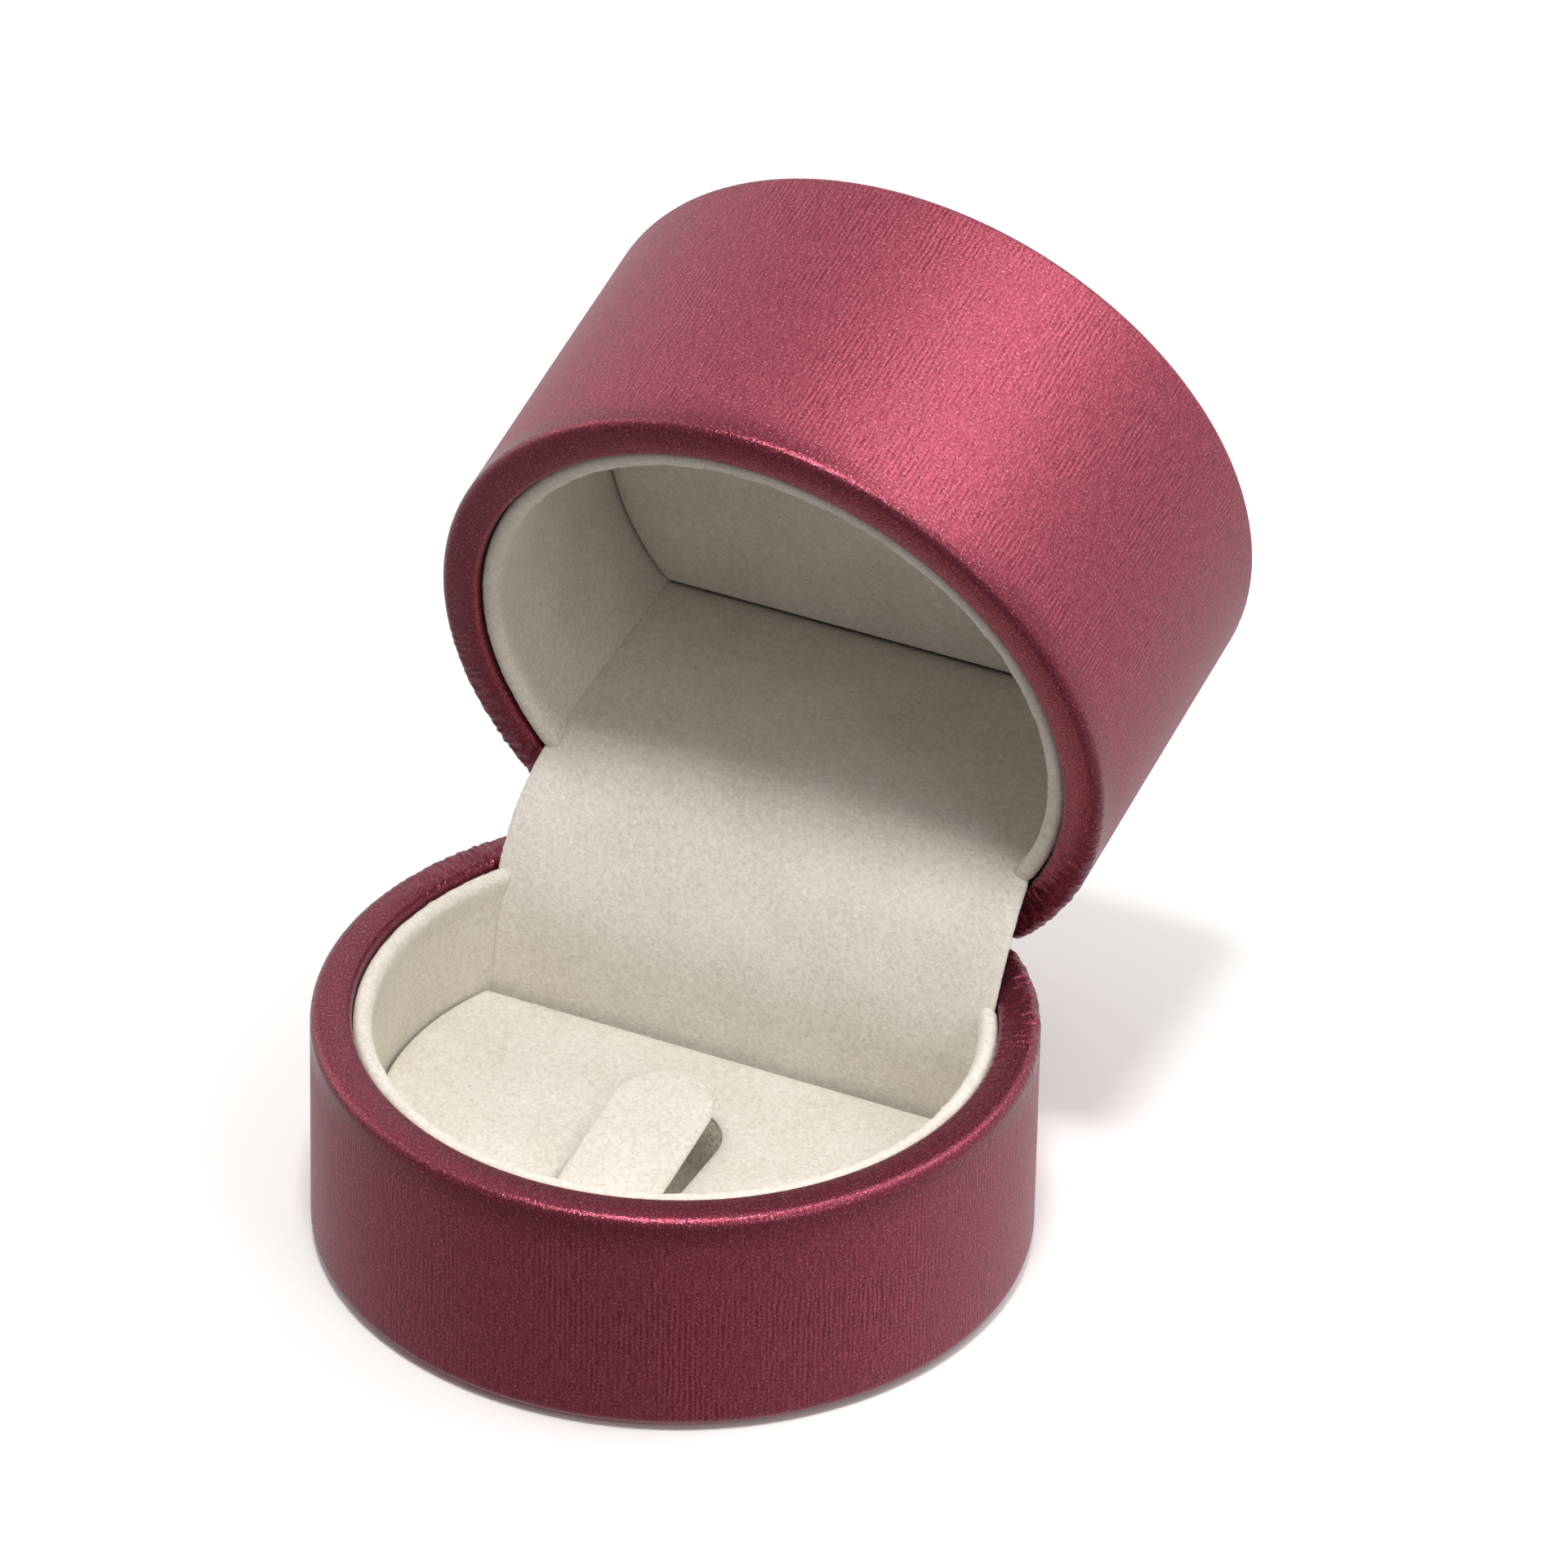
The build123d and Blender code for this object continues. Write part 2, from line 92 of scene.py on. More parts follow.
# Moulded polystyrene: dark, half-matt, with the faint unevenness of a spark-eroded mould.
polystyrene = new_material("moulded_polystyrene")
place = add_node(polystyrene, "TexCoord", {})
spark = add_node(
    polystyrene, "TexNoise", {"Vector": (place, "Object"), "Scale": 4000.0, "Detail": 3.0}
)
shade = add_node(
    polystyrene, "Mix", {0: spark, 6: linear("#2c2122"), 7: linear("#3a2c2d")}, data_type="RGBA"
)
gloss = add_node(polystyrene, "MapRange", {"Value": spark, "To Min": 0.42, "To Max": 0.58})
relief = add_node(polystyrene, "Bump", {"Height": spark, "Strength": 0.25, "Distance": 0.00002})
plastic = add_node(
    polystyrene,
    "BsdfPrincipled",
    {"Base Color": (shade, 2), "Roughness": gloss, "Normal": relief, "IOR": 1.59},
)
add_node(polystyrene, "OutputMaterial", {"Surface": plastic})
finish_parts(polystyrene, ["base_shell", "lid_shell"])

# --- Foot panel ---------------------------------------------------------------------------
# A thin panel of felt paper glued under the base, over the turned-in edge of the wrap.

# Felt paper: matt brown-black fibre with a soft mottle about a millimetre across.
felt = new_material("pressed_felt_paper")
place = add_node(felt, "TexCoord", {})
fibre = add_node(felt, "TexNoise", {"Vector": (place, "Object"), "Scale": 2600.0, "Detail": 5.0})
mottle = add_node(felt, "TexNoise", {"Vector": (place, "Object"), "Scale": 700.0})
blotch = add_node(felt, "Math", {0: fibre, 1: mottle}, operation="MULTIPLY")
shade = add_node(
    felt, "Mix", {0: blotch, 6: linear("#1d1718"), 7: linear("#5a4a47")}, data_type="RGBA"
)
relief = add_node(felt, "Bump", {"Height": fibre, "Strength": 0.6, "Distance": 0.00006})
fuzz = add_node(
    felt,
    "BsdfPrincipled",
    {
        "Base Color": (shade, 2),
        "Roughness": 0.96,
        "Specular IOR Level": 0.15,
        "Sheen Weight": 0.25,
        "Normal": relief,
    },
)
add_node(felt, "OutputMaterial", {"Surface": fuzz})
finish_parts(felt, ["base_foot_panel"])

# --- Leatherette wraps of the base and the lid --------------------------------------------
# Metallic wine leatherette, 0.5 mm thick, glued round each shell. It turns in under the foot,
# over the rounded rim and down the inside, and round the lid's top over a thin raised lip.
# It gathers a little where it is pulled over the rim, most of all beside the hinge.
outer_radius = 27.0
back_y = 19.4
corner_radius = 1.4
corner_centre = (18.2, 18.0)
skin = 0.5
hinge_gap_half = 13.2
strip_edge = 17.58
pivot = (19.2, 18.85)
open_angle = math.radians(76.0)


def opened(point):
    """A point of the shut lid, moved to where it lies on the open box."""
    x, y, z = point
    back, up = y - pivot[0], z - pivot[1]
    cos, sin = math.cos(open_angle), math.sin(open_angle)
    return (x, pivot[0] + back * cos + up * sin, pivot[1] - back * sin + up * cos)


def outline_point(inset, station):
    """Point of the outline moved in by inset. Station 0 is right of the hinge, 2.5 the front
    and 5 left of the hinge."""
    rounding = max(corner_radius - inset, 0.3)
    centre_y = back_y - inset - rounding
    centre_x = math.sqrt((outer_radius - inset - rounding) ** 2 - centre_y**2)
    lean = math.atan2(centre_y, centre_x)
    side = 1 if station < 2.5 else -1
    along = min(station, 5 - station)
    if along < 1:
        return (side * (hinge_gap_half + (centre_x - hinge_gap_half) * along), back_y - inset)
    if along < 2:
        angle = math.pi / 2 + (lean - math.pi / 2) * (along - 1)
        x, y = rounding * math.cos(angle), rounding * math.sin(angle)
        return (side * (centre_x + x), centre_y + y)
    angle = lean - (lean + math.pi / 2) * (along - 2) * 2
    return (
        side * (outer_radius - inset) * math.cos(angle),
        (outer_radius - inset) * math.sin(angle),
    )


def bow(centre, radius, start, end, steps=7):
    """Points of an arc in a profile, without its first one. Angles are in degrees."""
    angles = [math.radians(start + (end - start) * i / steps) for i in range(1, steps + 1)]
    return [(centre[0] + radius * math.cos(a), centre[1] + radius * math.sin(a)) for a in angles]


def run(start, end, steps):
    """Points of a straight run in a profile, without its first one."""
    return [
        (start[0] + (end[0] - start[0]) * i / steps, start[1] + (end[1] - start[1]) * i / steps)
        for i in range(1, steps + 1)
    ]


def lengths(points):
    """Distance along a line of points, at each point."""
    total = [0.0]
    for a, b in zip(points, points[1:]):
        total.append(total[-1] + math.dist(a, b))
    return total


def make_piece(name, points, faces, flat=None, tight=None):
    """Smooth mesh from points in millimetres. flat gives each point's place on the flat cut,
    and tight how far the sheet is stretched there."""
    mesh = bpy.data.meshes.new(name)
    mesh.from_pydata([Vector(p) / 1000 for p in points], [], faces)
    mesh.validate()
    if flat:
        layer = mesh.uv_layers.new(name="flat_cut")
        for loop in mesh.loops:
            layer.data[loop.index].uv = flat[loop.vertex_index]
    if tight:
        mesh.attributes.new("pulled_tight", "FLOAT", "POINT").data.foreach_set("value", tight)
    for polygon in mesh.polygons:
        polygon.use_smooth = True
    piece = bpy.data.objects.new(name, mesh)
    bpy.context.scene.collection.objects.link(piece)
    return piece


def give_thickness(piece, thickness, offset=-1.0):
    """Thickens an open sheet to its gauge and keeps the result as its mesh."""
    solid = piece.modifiers.new("gauge", "SOLIDIFY")
    solid.thickness = thickness / 1000
    solid.offset = offset
    solid.use_even_offset = True
    solid.thickness_clamp = 1.0
    made = bpy.data.meshes.new_from_object(
        piece.evaluated_get(bpy.context.evaluated_depsgraph_get())
    )
    piece.modifiers.clear()
    piece.data = made


front_turn = math.pi / 2 + math.atan2(corner_centre[1], corner_centre[0])
front_length = (outer_radius - corner_radius) * 2 * front_turn
gathered_length = 18.0


def front_stations():
    """Stations along the round front: close together beside the hinge, wider apart in front."""
    marks, distance = [], 0.0
    while distance < front_length / 2:
        marks.append(2 + distance / front_length)
        distance += 0.14 if distance < gathered_length else 0.6
    return marks + [2.5] + [5 - mark for mark in reversed(marks)]


strip_mark = (strip_edge - hinge_gap_half) / (corner_centre[0] - hinge_gap_half)
flat_marks = [0.0, 0.3, 0.6, strip_mark, 0.94]
corner_marks = [1 + i / 6 for i in range(6)]
first_marks = flat_marks + corner_marks
stations = first_marks + front_stations() + [5 - mark for mark in reversed(first_marks)]


def wrap(profile, island, rim_z, lift):
    """Leatherette wrapped round a shell. Rows for which island is false stop at the back strip."""
    flat_u = lengths([outline_point(0, s) for s in stations])
    flat_v = lengths(profile)
    gather_from = flat_u[len(first_marks)]
    gather_to = flat_u[-1 - len(first_marks)]
    points, flat, tight, faces = [], [], [], []
    for row, (inset, z) in enumerate(profile):
        before, after = profile[max(row - 1, 0)], profile[min(row + 1, len(profile) - 1)]
        step = math.dist(before, after)
        facing = (-(after[1] - before[1]) / step, (after[0] - before[0]) / step)
        near_rim = max(0.0, 1 - abs(z - rim_z) / 2.6)
        for column, station in enumerate(stations):
            u = flat_u[column]
            beside_hinge = min(abs(u - gather_from), abs(u - gather_to))
            if gather_from < u < gather_to:
                pull = math.exp(-((beside_hinge / 16.0) ** 4))
            else:
                pull = 1.0
            fold = noise.noise(Vector((u / 0.9, flat_v[row] / 3.0, lift)))
            pleat = noise.noise(Vector((u / 0.37, flat_v[row] / 1.0, lift + 4)))
            slack = noise.noise(Vector((u / 15.0, flat_v[row] / 11.0, lift + 7)))
            out = near_rim * (0.016 * fold + 0.17 * pull * (pleat - 0.25)) + 0.02 * slack
            x, y = outline_point(inset + out * facing[0], station)
            points.append((x, y, z + out * facing[1]))
            flat.append((u, flat_v[row]))
            tight.append(min(1.0, near_rim * 2))
    columns = len(stations)
    strip_columns = len(flat_marks) - 2
    for row in range(len(profile) - 1):
        for column in range(columns - 1):
            on_back = min(column, columns - 2 - column) < strip_columns
            if on_back and not island(profile[row], profile[row + 1]):
                continue
            corner = row * columns + column
            faces.append((corner, corner + columns, corner + columns + 1, corner + 1))
    return points, flat, tight, faces


# Brushed metallic leatherette: a coated paper with metal pigment and short embossed brush
# lines 0.4 mm apart. Pigment flakes, drawn coarse at 0.2 mm, are painted pale pink against
# the wine ground as painted glints. It greys off at a slant, and it is smoother and glossier
# where it is pulled tight, where it is also painted darker as painted shade on the rim.
leatherette = new_material("brushed_metallic_leatherette")
cut = add_node(leatherette, "UVMap", {}, uv_map="flat_cut")
tightness = add_node(leatherette, "Attribute", {}, attribute_name="pulled_tight")
lines_at = add_node(leatherette, "Mapping", {"Vector": cut, "Scale": (1.0, 0.2, 1.0)})
lines = add_node(
    leatherette,
    "TexWave",
    {
        "Vector": lines_at,
        "Scale": 2 * math.pi / (20 * 0.4),
        "Distortion": 4.0,
        "Detail": 2.0,
        "Detail Scale": 2.5,
    },
)
patches_at = add_node(leatherette, "Mapping", {"Vector": cut, "Scale": (0.22, 0.13, 1.0)})
patches = add_node(leatherette, "TexNoise", {"Vector": patches_at, "Scale": 1.0, "Detail": 1.0})
pressed = add_node(
    leatherette,
    "MapRange",
    {"Value": patches, "From Min": 0.42, "From Max": 0.66, "To Min": 0.03, "To Max": 0.27},
)
about_flat = add_node(leatherette, "Math", {0: lines, 1: 0.5}, operation="SUBTRACT")
embossed = add_node(leatherette, "Math", {0: about_flat, 1: pressed}, operation="MULTIPLY")
smoothed = add_node(leatherette, "MapRange", {"Value": (tightness, 2), "To Min": 1.0, "To Max": 0.1})
left_in = add_node(leatherette, "Math", {0: embossed, 1: smoothed}, operation="MULTIPLY")
streaks_at = add_node(leatherette, "Mapping", {"Vector": cut, "Scale": (4.5, 0.7, 1.0)})
streaks = add_node(
    leatherette, "TexNoise", {"Vector": streaks_at, "Scale": 1.0, "Detail": 3.0, "Roughness": 0.65}
)
flakes = add_node(
    leatherette, "TexNoise", {"Vector": cut, "Scale": 4.8, "Detail": 2.0, "Roughness": 0.8}
)
grain = add_node(leatherette, "Math", {0: streaks, 1: 0.6, 2: flakes}, operation="MULTIPLY_ADD")
surface = add_node(leatherette, "Math", {0: grain, 1: left_in}, operation="ADD")
relief = add_node(
    leatherette, "Bump", {"Height": surface, "Strength": 0.7, "Distance": 0.00007}
)
depth = add_node(leatherette, "MapRange", {"Value": surface, "From Min": 0.58, "From Max": 1.0})
ground = add_node(
    leatherette, "Mix", {0: depth, 6: linear("#742538"), 7: linear("#b25264")}, data_type="RGBA"
)
# Painted shade: the rim, and the leatherette near it where it is pulled tight, is painted darker
# towards #5a1c2a.
rim_painted_shade = add_node(leatherette, "MapRange", {"Value": (tightness, 2), "To Max": 0.45})
ground = add_node(
    leatherette, "Mix", {0: rim_painted_shade, 6: (ground, 2), 7: linear("#5a1c2a")}, data_type="RGBA"
)
# Painted glints: the pigment flakes are real, but their pale pink colour here is a painted glint.
painted_glint_share = add_node(leatherette, "MapRange", {"Value": flakes, "From Min": 0.6, "From Max": 0.78})
shade = add_node(
    leatherette, "Mix", {0: painted_glint_share, 6: (ground, 2), 7: linear("#e0a0ab")}, data_type="RGBA"
)
gloss = add_node(
    leatherette, "MapRange", {"Value": (tightness, 2), "To Min": 0.38, "To Max": 0.18}
)
coated = add_node(
    leatherette,
    "BsdfPrincipled",
    {
        "Base Color": (shade, 2),
        "Metallic": 0.74,
        "Roughness": gloss,
        "Sheen Weight": 0.1,
        "Sheen Roughness": 0.4,
        "Sheen Tint": linear("#e8cdd0"),
        "Normal": relief,
    },
)
add_node(leatherette, "OutputMaterial", {"Surface": coated})

base_rim_z = 18.7
lid_rim_z = 19.0
rim_width = 3.1
rim_crown = 0.07
rim_rounding = 0.85
inner_rounding = 0.45
turn_in_z = 0.3
lip_z = 46.5
lip_radius = 0.72
groove_z = 45.2
under_strip = 3.0
base_notch_z = 17.5
lid_notch_z = 20.25
rim_inner = rim_width - inner_rounding
base_profile = [(4.0, turn_in_z), (2.5, turn_in_z)]
base_profile += run((2.5, turn_in_z), (1.0, turn_in_z), 2) + bow((1.0, 1.3), 1.0, -90, -180)
rounding_z = base_rim_z - rim_rounding
rim_face = rim_inner - rim_rounding
base_profile += run((0, 1.3), (0, 17.55), 14) + run((0, 17.55), (0, rounding_z), 2)
base_profile += bow((rim_rounding, rounding_z), rim_rounding, 180, 90)
base_profile += [
    (n, base_rim_z + rim_crown * math.sin(math.pi * (n - rim_rounding) / rim_face))
    for n, _ in run((rim_rounding, 0), (rim_inner, 0), 6)
]
inner_z = base_rim_z - inner_rounding
base_profile += bow((rim_inner, inner_z), inner_rounding, 90, 0, 6)
base_profile += run((rim_width, inner_z), (rim_width, 12.2), 7)

inner_z = lid_rim_z + inner_rounding
lid_profile = [(rim_width, 25.5)] + run((rim_width, 25.5), (rim_width, inner_z), 7)
lid_profile += bow((rim_inner, inner_z), inner_rounding, 0, -90, 6)
lid_profile += [
    (n, lid_rim_z - rim_crown * math.sin(math.pi * (rim_inner - n) / rim_face))
    for n, _ in run((rim_inner, 0), (rim_rounding, 0), 6)
]
rounding_z = lid_rim_z + rim_rounding
lid_profile += bow((rim_rounding, rounding_z), rim_rounding, -90, -180)
lid_profile += run((0, rounding_z), (0, 20.2), 2)
lid_profile += run((0, 20.2), (0, lip_z), 22) + bow((lip_radius, lip_z), lip_radius, 180, 90)
lid_profile += bow((0.78, lip_z), lip_radius, 90, 0) + run((1.5, lip_z), (1.5, groove_z), 3)

points, flat, tight, faces = wrap(
    base_profile,
    lambda a, b: min(a[1], b[1]) > base_notch_z or min(a[0], b[0]) > under_strip,
    18.5,
    0,
)
base_wrap = make_piece("base_wrap_leatherette", points, faces, flat, tight)
points, flat, tight, faces = wrap(
    lid_profile, lambda a, b: max(a[1], b[1]) < lid_notch_z or b[0] > under_strip, 19.2, 3
)
lid_wrap = make_piece("lid_wrap_leatherette", [opened(p) for p in points], faces, flat, tight)
for piece, body, node in ((base_wrap, "base", "base_wrap"), (lid_wrap, "lid", "lid_wrap")):
    give_thickness(piece, skin)
    piece.data.materials.append(leatherette)
    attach(piece, body)
    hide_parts(node)

# --- Hinge --------------------------------------------------------------------------------
# Two stamped leaves of nickel-plated steel with rolled knuckles, a pin, and a pair of rivets
# for each leaf. A bow spring hooked through both leaves gives the lid its snap.

# Nickel-plated steel: bright and slightly warm, with fine rolling marks along the sheet.
nickel = new_material("nickel_plated_steel")
place = add_node(nickel, "TexCoord", {})
rolled_at = add_node(nickel, "Mapping", {"Vector": (place, "Object"), "Scale": (300, 5200, 5200)})
rolled = add_node(nickel, "TexNoise", {"Vector": rolled_at, "Scale": 1.0, "Detail": 3.0})
tarnish = add_node(nickel, "TexNoise", {"Vector": (place, "Object"), "Scale": 420.0})
shade = add_node(
    nickel, "Mix", {0: tarnish, 6: linear("#b9b1a2"), 7: linear("#d6d1c7")}, data_type="RGBA"
)
gloss = add_node(nickel, "MapRange", {"Value": rolled, "To Min": 0.2, "To Max": 0.4})
relief = add_node(nickel, "Bump", {"Height": rolled, "Strength": 0.2, "Distance": 0.00001})
plated = add_node(
    nickel,
    "BsdfPrincipled",
    {"Base Color": (shade, 2), "Metallic": 1.0, "Roughness": gloss, "Normal": relief},
)
add_node(nickel, "OutputMaterial", {"Surface": plated})
finish_parts(
    nickel,
    [
        "hinge_leaf_base",
        "hinge_leaf_lid",
        "hinge_pin",
        "base_hinge_rivets",
        "lid_hinge_rivets",
    ],
)


def rounded_path(corners, radii, pitch):
    """Side-view points along a bent line whose inner corners are rounded."""
    path = [corners[0]]
    for i, radius in enumerate(radii):
        a, b, c = (Vector(corners[i + k]) for k in range(3))
        into, out = (b - a).normalized(), (c - b).normalized()
        turn = math.acos(max(-1.0, min(1.0, into.dot(out))))
        reach = radius * math.tan(turn / 2)
        first, last = b - into * reach, b + out * reach
        bend = 1 if into.x * out.y - into.y * out.x > 0 else -1
        centre = first + Vector((-into.y, into.x)) * radius * bend
        steps = max(3, round(turn / math.radians(12)), round(radius * turn / pitch))
        straight = (first - Vector(path[-1])).length
        path += run(path[-1], tuple(first), max(1, round(straight / pitch)))
        for k in range(1, steps + 1):
            spoke = first - centre
            spoke.rotate(Matrix.Rotation(bend * turn * k / steps, 2))
            path.append(tuple(centre + spoke))
        path[-1] = tuple(last)
    path += run(path[-1], corners[-1], max(1, round(math.dist(path[-1], corners[-1]) / pitch)))
    return path


def ribbon(name, path, half_width, columns, out=None):
    """Sheet bent along a side-view path, half_width to each side of the middle. out gives how
    far it stands off the path."""
    flat_v = lengths(path)
    points, flat, faces = [], [], []
    for row, (y, z) in enumerate(path):
        before, after = path[max(row - 1, 0)], path[min(row + 1, len(path) - 1)]
        step = math.dist(before, after)
        facing = ((after[1] - before[1]) / step, -(after[0] - before[0]) / step)
        for column in range(columns + 1):
            x = half_width * (2 * column / columns - 1)
            push = out(x, flat_v[row]) if out else 0.0
            points.append((x, y + push * facing[0], z + push * facing[1]))
            flat.append((x, flat_v[row]))
    for row in range(len(path) - 1):
        for column in range(columns):
            corner = row * (columns + 1) + column
            faces.append((corner, corner + columns + 1, corner + columns + 2, corner + 1))
    return make_piece(name, points, faces, flat)


def lid_side(y, z):
    """Side-view point of the shut lid, where it lies on the open box."""
    return opened((0, y, z))[1:]


spring_gauge = 0.35
spring_y = 15.9
spring_hook_y = 16.7
spring_low, spring_high = 10.85, 26.85
spring_path = rounded_path(
    [
        (spring_hook_y, spring_low),
        (spring_y, spring_low),
        (spring_y, 21.41),
        lid_side(spring_y, spring_high),
        lid_side(spring_hook_y, spring_high),
    ],
    [0.4, 3.0, 0.4],
    0.5,
)
spring = ribbon("snap_spring_strip", spring_path, 4.6, 12)
give_thickness(spring, spring_gauge, 0.0)
spring.data.materials.append(nickel)
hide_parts("snap_spring")
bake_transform(spring)

# --- Back strip -----------------------------------------------------------------------------
# One straight strip of the same leatherette, glued over the flat back of base and lid after
# the wraps. It crosses the hinge, where it creases, and rolls over the lip of the lid's top.
hinge_reach = 2.1
strip_top_z = 47.25
strip_fold_y = 17.9
strip_path = rounded_path(
    [
        (back_y, 1.3),
        (back_y, pivot[1] - hinge_reach),
        lid_side(back_y, pivot[1] + hinge_reach),
        lid_side(back_y, strip_top_z),
        lid_side(strip_fold_y, strip_top_z),
        lid_side(strip_fold_y, groove_z),
    ],
    [1.0, 1.0, 0.74, 0.74],
    0.7,
)


def strip_slack(x, v):
    """How far the strip stands out: slow waves, and small creases across the hinge."""
    slack = 0.05 * noise.noise(Vector((x / 13, v / 11, 21)))
    crease = math.exp(-(((v - 17.0) / 1.6) ** 2)) * noise.noise(Vector((x / 2.4, v / 0.9, 4)))
    return slack + 0.12 * crease


back_strip = ribbon("back_strip_leatherette", strip_path, 17.48, 52, strip_slack)
give_thickness(back_strip, skin)
back_strip.data.materials.append(leatherette)
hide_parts("back_strip")
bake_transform(back_strip)

# --- Cards and boards -------------------------------------------------------------------------
# Die-cut greyboard: it stiffens both ends of the velvet band, and backs the ring pad, the
# lid's ceiling and the padded top.

# Greyboard: matt recycled fibre with darker flecks about a millimetre long.
greyboard = new_material("die_cut_greyboard")
place = add_node(greyboard, "TexCoord", {})
pulp = add_node(greyboard, "TexNoise", {"Vector": (place, "Object"), "Scale": 1500.0, "Detail": 6.0})
flecks_at = add_node(greyboard, "Mapping", {"Vector": (place, "Object"), "Scale": (900, 2600, 900)})
flecks = add_node(greyboard, "TexVoronoi", {"Vector": flecks_at, "Scale": 1.0})
flecked = add_node(greyboard, "MapRange", {"Value": flecks, "From Max": 0.25, "To Min": 0.5})
shade = add_node(
    greyboard, "Mix", {0: pulp, 6: linear("#75706a"), 7: linear("#a39c92")}, data_type="RGBA"
)
worn = add_node(
    greyboard, "Mix", {0: flecked, 6: linear("#4e4a46"), 7: (shade, 2)}, data_type="RGBA"
)
relief = add_node(greyboard, "Bump", {"Height": pulp, "Strength": 0.4, "Distance": 0.00004})
board = add_node(
    greyboard,
    "BsdfPrincipled",
    {"Base Color": (worn, 2), "Roughness": 0.92, "Specular IOR Level": 0.2, "Normal": relief},
)
add_node(greyboard, "OutputMaterial", {"Surface": board})
finish_parts(
    greyboard,
    ["base_back_card", "lid_back_card", "ring_pad_board", "lid_ceiling_board", "lid_top_board"],
)

# --- Foam blocks ------------------------------------------------------------------------------
# Die-cut polyurethane foam under the ring pad, behind the ceiling and under the domed top.
# The block under the ring pad has the pocket that the tongue's slot opens into.

# Open-cell foam: pale cream and matt, with cells about 0.4 mm across whose pits are painted darker
# as painted shade.
foam = new_material("open_cell_foam")
place = add_node(foam, "TexCoord", {})
cells = add_node(foam, "TexVoronoi", {"Vector": (place, "Object"), "Scale": 2500.0})
pit_depth_and_painted_shade = add_node(foam, "MapRange", {"Value": cells, "From Max": 0.7})
# Painted shade: the cell pits are painted a darker cream than the cell walls.
shade = add_node(
    foam, "Mix", {0: pit_depth_and_painted_shade, 6: linear("#d8d0c1"), 7: linear("#f6f1e7")}, data_type="RGBA"
)
relief = add_node(foam, "Bump", {"Height": pit_depth_and_painted_shade, "Strength": 0.8, "Distance": 0.0001})
block = add_node(
    foam,
    "BsdfPrincipled",
    {"Base Color": (shade, 2), "Roughness": 0.95, "Specular IOR Level": 0.2, "Normal": relief},
)
add_node(foam, "OutputMaterial", {"Surface": block})
finish_parts(foam, ["ring_pad_foam", "lid_ceiling_foam", "lid_top_foam"])

# --- Velvet liners of the base and the lid ------------------------------------------------------
# A sleeve of cream velvet over a thin foam, rolled over at its open edge and pushed into each
# cup. Its two ends butt against the band's face. Its rolled edge is puffy and a bit uneven.

# Flocked velvet: cream nap whose tufts, drawn coarse at 0.3 mm, lie in different directions.
# It shows fine hairy strokes under half a millimetre long, soft patches, and a pale sheen.
velvet = new_material("cream_flocked_velvet")
place = add_node(velvet, "TexCoord", {})
nap = add_node(
    velvet,
    "TexNoise",
    {"Vector": (place, "Object"), "Scale": 3300.0, "Detail": 2.0, "Roughness": 0.75},
)
strokes_at = add_node(
    velvet, "Mapping", {"Vector": (place, "Object"), "Scale": (2500, 2500, 3500)}
)
strokes = add_node(
    velvet,
    "TexNoise",
    {"Vector": strokes_at, "Scale": 1.0, "Detail": 4.0, "Roughness": 0.6, "Distortion": 0.9},
)
drift = add_node(velvet, "TexNoise", {"Vector": (place, "Object"), "Scale": 150.0, "Detail": 2.0})
leaning = add_node(
    velvet, "Math", {0: drift, 1: 0.35, 2: strokes}, operation="MULTIPLY_ADD"
)
lean_share = add_node(velvet, "MapRange", {"Value": leaning, "From Min": 0.45, "From Max": 0.9})
tone = add_node(
    velvet, "Mix", {0: lean_share, 6: linear("#c3baac"), 7: linear("#e8e2d8")}, data_type="RGBA"
)
tufts = add_node(velvet, "MapRange", {"Value": nap, "From Min": 0.3, "From Max": 0.7, "To Max": 0.4})
shade = add_node(
    velvet, "Mix", {0: tufts, 6: (tone, 2), 7: linear("#e4ded4")}, data_type="RGBA"
)
nap_height = add_node(velvet, "Math", {0: strokes, 1: nap}, operation="ADD")
relief = add_node(velvet, "Bump", {"Height": nap_height, "Strength": 0.5, "Distance": 0.00007})
flock = add_node(
    velvet,
    "BsdfPrincipled",
    {
        "Base Color": (shade, 2),
        "Roughness": 0.95,
        "Specular IOR Level": 0.1,
        "Sheen Weight": 0.5,
        "Sheen Roughness": 0.45,
        "Sheen Tint": linear("#fffaf0"),
        "Normal": relief,
    },
)
add_node(velvet, "OutputMaterial", {"Surface": flock})

liner_outer = 23.8
liner_inner = 22.5
roll = (liner_outer - liner_inner) / 2
bend_radius = 16.0
base_bend_z = 12.9
lid_bend_z = 24.8
lid_straight_z = 38.6


